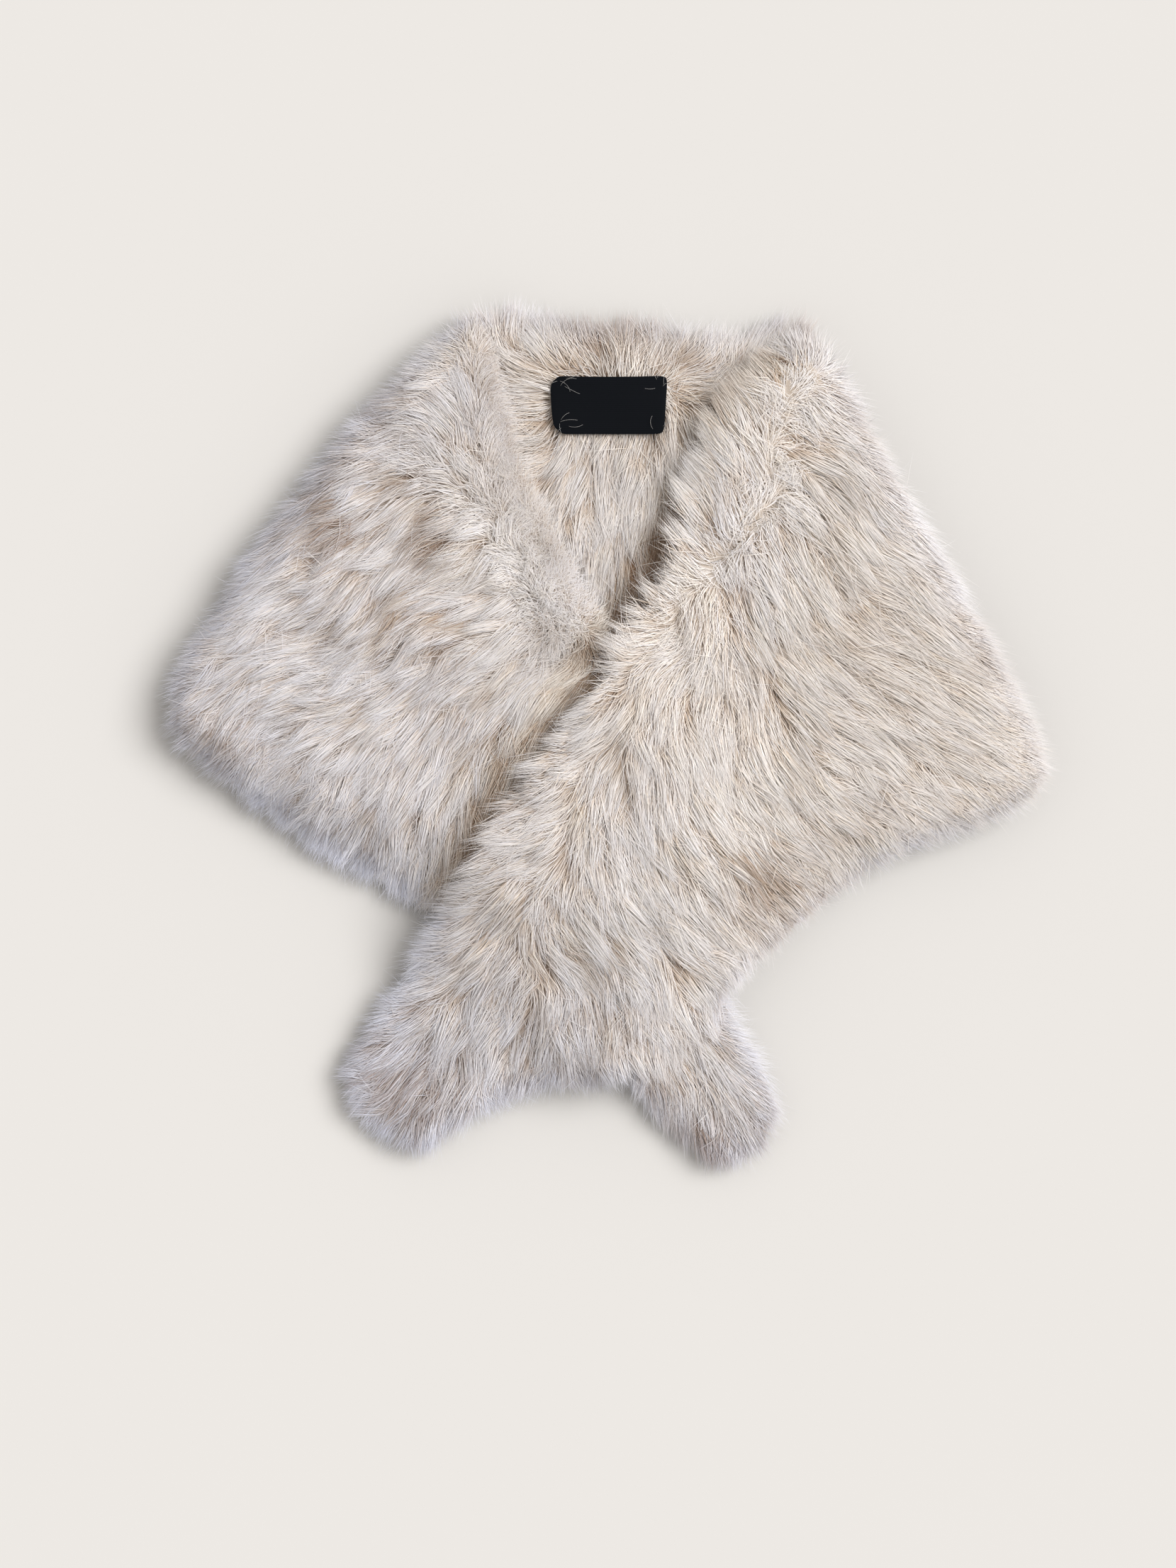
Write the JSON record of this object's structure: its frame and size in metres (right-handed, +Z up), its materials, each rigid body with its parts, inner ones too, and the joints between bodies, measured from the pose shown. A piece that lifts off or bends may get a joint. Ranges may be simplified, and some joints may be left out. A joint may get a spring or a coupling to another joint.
{
  "type": "fur collar wrap",
  "caption": "Crescent-cut stole of long-pile ivory fur, furred on both faces, laid flat with its tapered ends crossed over an open neck.",
  "frame": {"origin": "centre of the wrap's outline in plan, on the surface that it lies on", "axes": "+Z up from that surface; +Y from the crossed tails to the nape; +X to the right as the wrap is seen from above"},
  "size_m": [0.478, 0.4678, 0.0606],
  "materials": {
    "ivory_fur": "long soft pile, matte with a silky sheen",
    "black_satin": "woven satin, low sheen"
  },
  "bodies": {
    "root": {"back_collar": "ivory_fur", "left_front": "ivory_fur", "right_front": "ivory_fur", "left_tail": "ivory_fur", "right_tail": "ivory_fur", "label": "black_satin"}
  },
  "joints": []
}
